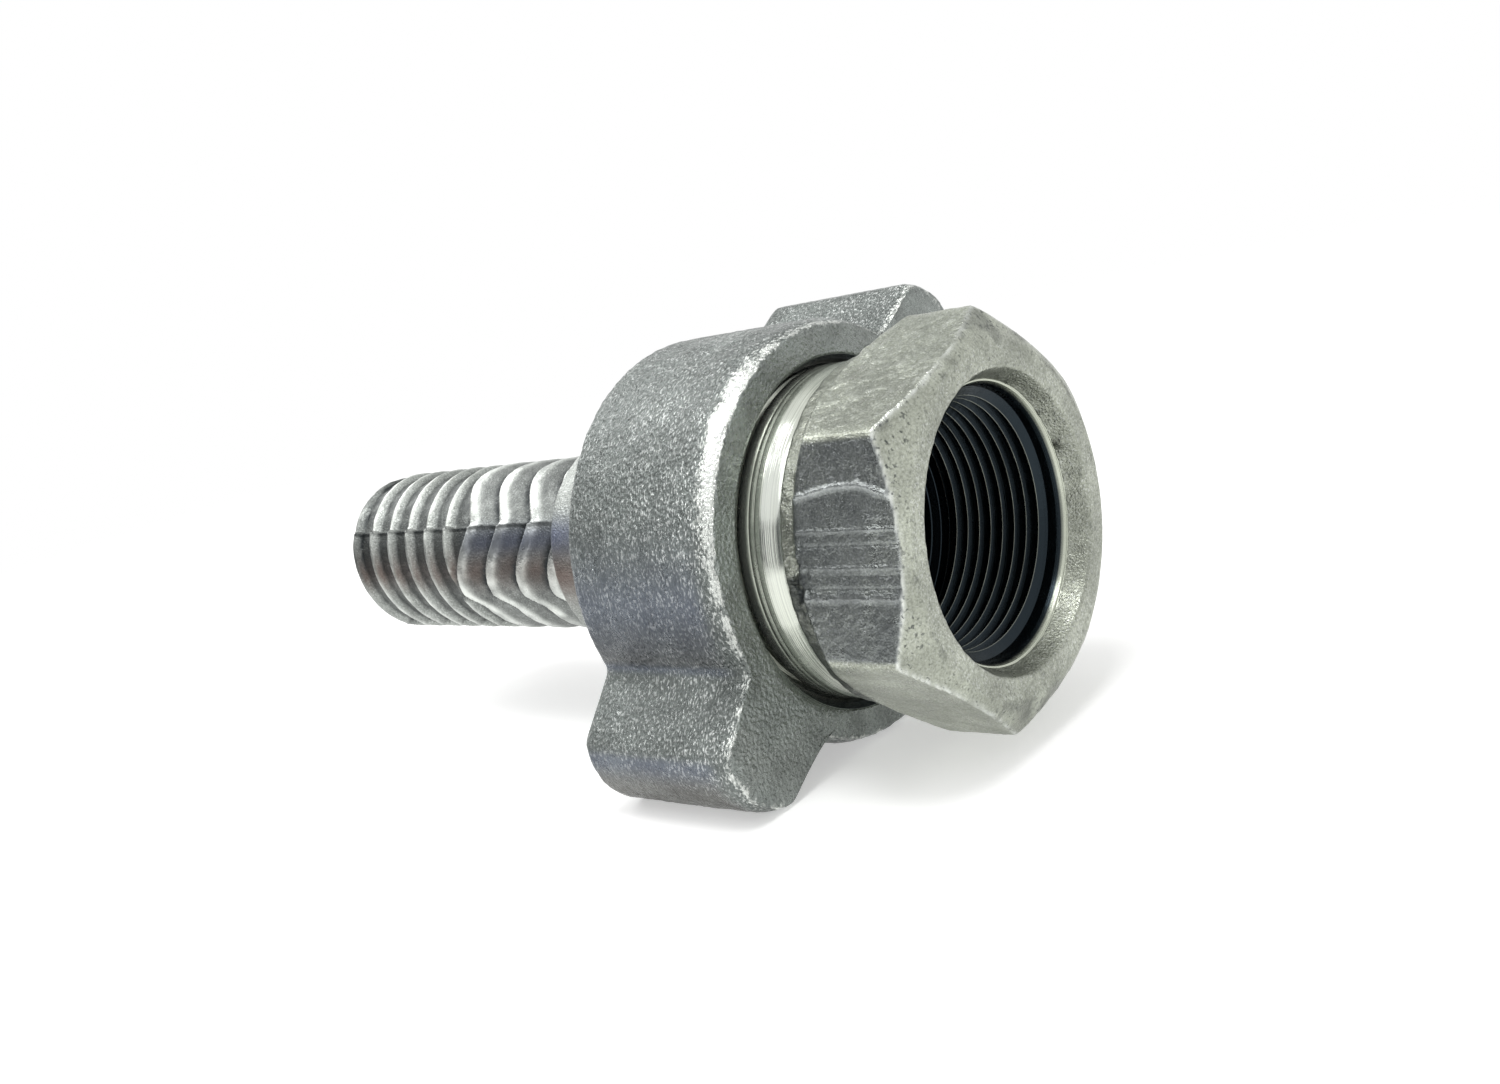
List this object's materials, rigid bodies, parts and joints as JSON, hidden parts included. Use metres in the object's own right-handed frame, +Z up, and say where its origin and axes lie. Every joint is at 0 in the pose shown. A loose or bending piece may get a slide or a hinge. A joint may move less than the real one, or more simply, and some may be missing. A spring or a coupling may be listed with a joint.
{
  "type": "wing nut hose coupling",
  "caption": "Barbed hose stem held against a hexagonal female pipe end by a wing nut over a ground joint, lying on its side.",
  "frame": {"origin": "on the coupling's axis, in the plane where the internal pipe thread begins", "axes": "+X along the axis out of the pipe mouth, +Z up with the coupling lying on the wing nut's ring and one wing"},
  "size_m": [0.1532, 0.0826, 0.0697],
  "materials": {
    "forged_zinc": "zinc plated forged steel, part machined",
    "cast_zinc": "zinc plated sand casting",
    "stem_zinc": "zinc plated forged steel",
    "copper": "soft copper"
  },
  "bodies": {
    "stem": {"hose_stem": "stem_zinc"},
    "nut": {"wing_nut": "cast_zinc"},
    "spud": {"pipe_spud": "forged_zinc", "seat_ring": "copper"}
  },
  "joints": [
    {"name": "nut_turn", "type": "hinge", "parent": "stem", "child": "nut", "pos_m": [-0.05668, 0, 0], "axis": [-1, 0, 0], "range_deg": [0, 2160]},
    {"name": "spud_travel", "type": "slide", "parent": "stem", "child": "spud", "axis": [1, 0, 0], "range_m": [0, 0.01525]}
  ],
  "couplings": [
    {"joint": "spud_travel", "follows": "nut_turn", "m_per_rad": 0.00040425}
  ]
}
